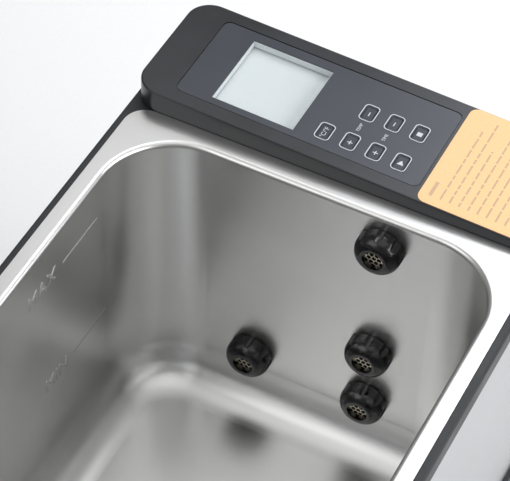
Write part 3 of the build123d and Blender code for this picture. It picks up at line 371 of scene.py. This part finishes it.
board, tree, shader, place = start_finish("green_glass_epoxy", "#1F5A34", 0.3, ior=1.55)
tracks = add_node(
    tree, "ShaderNodeTexBrick",
    {"Scale": per_mm(22), "Color1": linear("#000000"), "Color2": linear("#222222"),
     "Mortar": linear("#FFFFFF"), "Mortar Size": 0.012},
    {"Vector": place})
vary(tree, shader, tracks.outputs[0], "#1C5430", "#2F7A45", 0.28, 0.4, (0.0, 1.0))
emboss(tree, shader, tracks.outputs[0], 0.035, 0.7)
print("metals and boards done")

# %% [markdown]
# Every node of the measured model takes one finish. Grouping the nodes by
# finish keeps the choice readable, and anything left over is reported.

# %% Give each node its finish
finish_of = {
    drawn_steel: ["tank"],
    casing_steel: ["casing"],
    textured_abs: ["top_frame", "base_tray", "carry_handle_left", "carry_handle_right"],
    satin_abs: ["control_housing"],
    key_film: ["control_overlay"],
    key_cap: [name for name in nodes if name.startswith("key_")],
    notes_paper: ["notes_label"],
    display: ["lcd_module"],
    clear_pane: ["lcd_window"],
    cap_abs: [name for name in nodes if name.startswith("filter_cap")],
    mesh_steel: [name for name in nodes if name.startswith("filter_mesh")],
    silicone: ["rim_gasket", "port_gaskets", "suction_hoses", "pump_inlet_hose",
               "return_hose_lower", "return_hose_upper"],
    foot_rubber: ["rubber_feet"],
    white_acetal: ["port_nuts", "port_elbow_front", "port_elbow_rear", "port_elbow_top",
                   "port_tee_middle", "suction_tee"],
    glass_filled: ["port_sockets", "pump_housing", "pump_can", "pump_rotor"],
    black_switch: ["tact_switches", "thermal_cutout", "fan_frame", "fan_rotor", "power_inlet"],
    closed_foam: ["tank_insulation"],
    zinc: ["housing_screws", "foot_screws", "tie_rods", "hose_clamps", "pump_shaft"],
    cast_aluminium: ["heater_plate"],
    laminated_iron: ["pump_stator"],
    brass: ["temperature_sensor", "inlet_pins"],
    board: ["control_board", "power_board"],
}
finished = set()
for finish, names in finish_of.items():
    for name in names:
        slots = nodes[name].data.materials
        for index in range(max(1, len(slots))):
            if index < len(slots):
                slots[index] = finish
            else:
                slots.append(finish)
        finished.add(name)
print("nodes without a finish:", sorted(set(nodes) - finished))

# %% [markdown]
# Marks are printed on the sloping panel, so they need the panel's own
# directions. The panel falls 2 degrees towards the user. One key's box gives a
# point on it, and a small frame of three axes follows: across (X), up the
# panel (towards the rear) and out of the panel.

# %% The panel's own frame
panel_fall = math.radians(2.0)
across = Vector((1, 0, 0))
up_panel = Vector((0, math.cos(panel_fall), math.sin(panel_fall)))
out_of_panel = across.cross(up_panel)
key_low, key_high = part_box("key_unit")
key_size = Vector((13.0, 9.0)) * MM
key_rear = (key_low.y + key_high.y) / 2 + key_size.y / 2


def on_panel(x, y, lift=0.0):
    """The point of the panel over x and y, raised by lift."""
    z = key_high.z + (y - key_rear) * math.tan(panel_fall)
    return Vector((x, y, z)) + lift * out_of_panel


def panel_frame(x, y, lift=0.0):
    """A matrix that stands a flat piece on the panel at x and y."""
    turn = Matrix((across, up_panel, out_of_panel)).transposed().to_4x4()
    return Matrix.Translation(on_panel(x, y, lift)) @ turn


print("panel height at the keys, mm:", round(1000 * on_panel(0.144, 0.02).z, 2))


# %% [markdown]
# A printed mark is a very thin layer of ink. Each one is an outline extruded
# by a few hundredths of a millimetre, built as a mesh from flat loops of
# points. An outline may have a hole, as the white border of a key does.

# %% Build thin printed pieces
def rounded_loop(width, height, radius, steps=6):
    """Points round a rectangle with round corners, about its middle."""
    loop = []
    for quarter, (sx, sy) in enumerate(((1, 1), (-1, 1), (-1, -1), (1, -1))):
        for step in range(steps + 1):
            angle = math.pi / 2 * (quarter + step / steps)
            loop.append((sx * (width / 2 - radius) + radius * math.cos(angle),
                         sy * (height / 2 - radius) + radius * math.sin(angle)))
    return loop


def thin_piece(name, loops, thickness, finish, placing, body):
    """Flat areas, each (outer loop, inner loop or None), given a thickness."""
    shape = bmesh.new()
    for outer, inner in loops:
        rim = [shape.verts.new((*point, 0.0)) for point in outer]
        if inner is None:
            shape.faces.new(rim)
            continue
        hole = [shape.verts.new((*point, 0.0)) for point in inner]
        for i in range(len(rim)):
            j = (i + 1) % len(rim)
            shape.faces.new((rim[i], rim[j], hole[j], hole[i]))
    raised = bmesh.ops.extrude_face_region(shape, geom=shape.faces[:])["geom"]
    for part in raised:
        if isinstance(part, bmesh.types.BMVert):
            part.co.z += thickness
    bmesh.ops.recalc_face_normals(shape, faces=shape.faces[:])
    mesh = bpy.data.meshes.new(name)
    shape.to_mesh(mesh)
    shape.free()
    piece = bpy.data.objects.new(name, mesh)
    bpy.context.scene.collection.objects.link(piece)
    piece.matrix_world = placing
    mesh.materials.append(finish)
    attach(piece, body)
    return piece


def lettering(name, words, height, finish, placing, body, thickness=0.02 * MM):
    """Plain generic lettering, standing height tall, centred on its place."""
    curve = bpy.data.curves.new(name, "FONT")
    curve.body = words
    curve.size = height / 0.7
    curve.align_x = "CENTER"
    curve.align_y = "CENTER"
    curve.extrude = thickness
    curve.resolution_u = 4
    piece = bpy.data.objects.new(name, curve)
    bpy.context.scene.collection.objects.link(piece)
    piece.matrix_world = placing
    curve.materials.append(finish)
    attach(piece, body)
    return piece


# %% [markdown]
# Each key has a raised border with a white printed line on it and a sign in
# its dished middle: a unit switch, plus and minus for temperature and time, a
# triangle for start and a square for stop. The signs face the user's right.

# %% Key borders and signs
INK = 0.03 * MM
border = 0.6 * MM
dish = 0.8 * MM


def bar_loop(width, height, x=0.0, y=0.0):
    """A plain rectangle of points about (x, y)."""
    return [(x + sx * width / 2, y + sy * height / 2)
            for sx, sy in ((1, 1), (-1, 1), (-1, -1), (1, -1))]


arm, stroke = 3.0 * MM, 0.55 * MM
minus_sign = [(bar_loop(arm, stroke), None)]
plus_sign = [
    (bar_loop(stroke, arm), None),
    (bar_loop((arm - stroke) / 2, stroke, (arm + stroke) / 4), None),
    (bar_loop((arm - stroke) / 2, stroke, -(arm + stroke) / 4), None),
]
start_sign = [([(2.0 * MM, 0.0), (-1.4 * MM, 1.9 * MM), (-1.4 * MM, -1.9 * MM)], None)]
stop_sign = [(bar_loop(3.0 * MM, 3.0 * MM), None)]
signs = {
    "key_temp_up": plus_sign, "key_time_up": plus_sign,
    "key_temp_down": minus_sign, "key_time_down": minus_sign,
    "key_start": start_sign, "key_stop": stop_sign,
}
for key_name in finish_of[key_cap]:
    low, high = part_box(key_name)
    x = (low.x + high.x) / 2
    y = (low.y + high.y) / 2
    body = f"{key_name}_body"
    outer = rounded_loop(key_size.x - 0.06 * MM, key_size.y - 0.06 * MM, 2.47 * MM)
    inner = rounded_loop(key_size.x - 2 * border, key_size.y - 2 * border, 2.5 * MM - border)
    thin_piece(f"{key_name}_border", [(outer, inner)], INK, white_ink,
               panel_frame(x, y), body)
    if key_name in signs:
        thin_piece(f"{key_name}_sign", signs[key_name], INK, white_ink,
                   panel_frame(x, y, -dish), body)
    else:
        lettering(f"{key_name}_sign", "°C/°F", 2.6 * MM, white_ink,
                  panel_frame(x, y, -dish + INK / 2), body, INK / 2)
print("keys marked:", len(finish_of[key_cap]))

# %% [markdown]
# The display lies at the bottom of a well. A white plastic frame, which also
# spreads the light of the reflector, lines the walls of the well, so that they
# look pale from above.

# %% The display's pale frame
pane_low, pane_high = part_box("lcd_window")
lap = 1.0 * MM
liner_wall = 0.3 * MM
display_middle = (pane_low + pane_high) / 2
opening = Vector((pane_high.x - pane_low.x - 2 * lap,
                  (pane_high.y - pane_low.y) / math.cos(panel_fall) - 2 * lap))
well_bottom = pane_high.z - on_panel(0, pane_high.y).z
frame_height = -well_bottom - 0.8 * MM
thin_piece("display_surround",
           [(bar_loop(opening.x - 0.1 * MM, opening.y - 0.1 * MM),
             bar_loop(opening.x - 2 * liner_wall, opening.y - 2 * liner_wall))],
           frame_height, display, panel_frame(display_middle.x, display_middle.y, well_bottom),
           "bath")
print("well depth in mm:", round(-1000 * well_bottom, 2))

# %% [markdown]
# Between the two columns of keys stand two small legends. The notes label
# carries lines of text on the real bath. Here they are bars of uneven length,
# so that the label looks printed and says nothing.

# %% Legends and the label's bars
film_lift = -0.2 * MM
near_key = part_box("key_temp_up")
far_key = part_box("key_temp_down")
between = (near_key[0].x + near_key[1].x + far_key[0].x + far_key[1].x) / 4
for legend, key_name in (("TEMP", "key_temp_up"), ("TIME", "key_time_up")):
    low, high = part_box(key_name)
    lettering(f"legend_{legend.lower()}", legend, 1.9 * MM, white_ink,
              panel_frame(between, (low.y + high.y) / 2, film_lift), "bath", INK)

label_low, label_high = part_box("notes_label")
random.seed(7)
line_pitch = 5.3 * MM
bar_height = 1.1 * MM
bar_gap = 1.3 * MM
side_margin = 6 * MM
first_row = 12.0 * MM
last_row = 4 * MM
bars = []
label_middle = (label_low + label_high) / 2
row = label_high.y - first_row
while row > label_low.y + last_row:
    x = label_low.x + side_margin
    end = label_high.x - side_margin - random.choice((0, 0, 9, 20)) * MM
    while x < end:
        word = min(random.uniform(3.0, 9.0) * MM, end - x)
        bars.append((bar_loop(word, bar_height, x + word / 2 - label_middle.x,
                              row - label_middle.y), None))
        x += word + bar_gap
    row -= line_pitch
heading = bar_loop(11 * MM, 2.0 * MM, label_low.x + 11.5 * MM - label_middle.x,
                   label_high.y - 6 * MM - label_middle.y)
bars.append((heading, None))
label_lift = (label_high.z - on_panel(0, label_high.y).z)
thin_piece("label_print", bars, INK, faint_ink,
           panel_frame(label_middle.x, label_middle.y, label_lift), "bath")
print("label bars:", len(bars), "lift in mm:", round(1000 * label_lift, 2))

# %% [markdown]
# Two level marks are pressed into the rear wall of the tank from outside, so
# they stand a fraction of a millimetre proud inside. They are generic words and a line each.

# %% Pressed level marks
rear_wall = 110.0 * MM


def wall_frame(x, z):
    """Stands a flat piece on the rear wall, facing into the tank."""
    turn = Matrix((Vector((1, 0, 0)), Vector((0, 0, 1)), Vector((0, -1, 0)))).transposed().to_4x4()
    return Matrix.Translation((x, rear_wall, z)) @ turn


for word, word_x, line_x, level in (("MAX", 1.5, 41.5, 212), ("MIN", 12, 48.5, 130)):
    mark = lettering(f"level_{word.lower()}", word, 9.5 * MM, pressed_steel,
                     wall_frame(word_x * MM, level * MM), "bath", 0.1 * MM)
    mark.data.bevel_depth = 0.15 * MM
    mark.data.bevel_resolution = 2
    thin_piece(f"level_{word.lower()}_line", [(rounded_loop(37 * MM, 1.4 * MM, 0.69 * MM), None)],
               0.12 * MM, pressed_steel, wall_frame(line_x * MM, level * MM), "bath")
print("level marks at 130 and 212 mm")

# %% [markdown]
# The floor is a plain pale sheet, and the light is soft: a dim even dome and
# five soft boxes, one overhead, one in front, one behind the tank's open end
# and two beyond the control end. Steel shows whatever is round it, so the
# boxes are placed for what the rim and the tank reflect.

# %% Floor and light
scene = bpy.context.scene
scene.view_settings.view_transform = "Standard"
paper, tree, shader, place = start_finish("matt_studio_paper", "#FBFBFB", 0.9, ior=1.4)
tooth = add_node(tree, "ShaderNodeTexNoise", {"Scale": per_mm(3), "Detail": 3.0}, {"Vector": place})
vary(tree, shader, tooth.outputs[0], "#FAFAFA", "#FCFCFC", 0.88, 0.94)
half = 4.0
floor_mesh = bpy.data.meshes.new("studio_floor")
floor_mesh.from_pydata([(-half, -half, 0), (half, -half, 0), (half, half, 0), (-half, half, 0)],
                       [], [(0, 1, 2, 3)])
studio_floor = bpy.data.objects.new("studio_floor", floor_mesh)
scene.collection.objects.link(studio_floor)
floor_mesh.materials.append(paper)

sky = bpy.data.worlds.new("soft_studio")
sky.use_nodes = True
sky.node_tree.nodes["Background"].inputs["Color"].default_value = linear("#FFFFFF")
sky.node_tree.nodes["Background"].inputs["Strength"].default_value = 0.3
scene.world = sky


def soft_box(name, place, target, width, height, glow, colour="#FFFFFF"):
    """A rectangular lamp at place that faces target, glow times as bright as white paper."""
    lamp = bpy.data.lights.new(name, "AREA")
    lamp.shape = "RECTANGLE"
    lamp.size = width
    lamp.size_y = height
    lamp.energy = glow * math.pi * width * height
    lamp.color = linear(colour)[:3]
    holder = bpy.data.objects.new(name, lamp)
    holder.location = place
    holder.rotation_euler = (Vector(target) - Vector(place)).to_track_quat("-Z", "Y").to_euler()
    scene.collection.objects.link(holder)
    return holder


soft_box("overhead_box", (-0.1, -0.2, 2.0), (0, 0, 0), 1.8, 1.8, 0.8)
soft_box("end_box", (1.12, -0.12, 1.3), (0.15, -0.05, 0.25), 0.7, 0.5, 5.0, "#F4F8FF")
soft_box("rim_box", (0.66, 0.28, 1.3), (0.6, 0.2, 0.2), 0.3, 0.8, 2.4)
soft_box("rear_box", (-1.0, 0.75, 1.3), (0.0, 0.0, 0.15), 1.2, 1.0, 1.7)
soft_box("front_box", (0.1, -1.5, 0.95), (0, 0, 0.2), 1.8, 1.0, 4.2)

# %% [markdown]
# The camera stands high beyond the tank's open end and looks down along the
# bath to the panel, with a long lens, so that the sides stay nearly parallel.
# Its three directions are written as a rotation, because it is rolled a little.

# %% Camera
lens = bpy.data.cameras.new("high_three_quarter")
lens.lens = 164.4
lens.sensor_width = 36.0
camera = bpy.data.objects.new("high_three_quarter", lens)
right = Vector((0.45325, -0.89083, 0.03145))
forward = Vector((0.61059, 0.28458, -0.73905)).normalized()
right = (right - right.dot(forward) * forward).normalized()
upward = right.cross(forward)
camera.matrix_world = (
    Matrix.Translation((-0.67962, -0.32979, 1.13950))
    @ Matrix((right, upward, -forward)).transposed().to_4x4())
scene.collection.objects.link(camera)
scene.camera = camera
print("camera distance in metres:", round((camera.location - Vector((0.06, 0.02, 0.24))).length, 3))
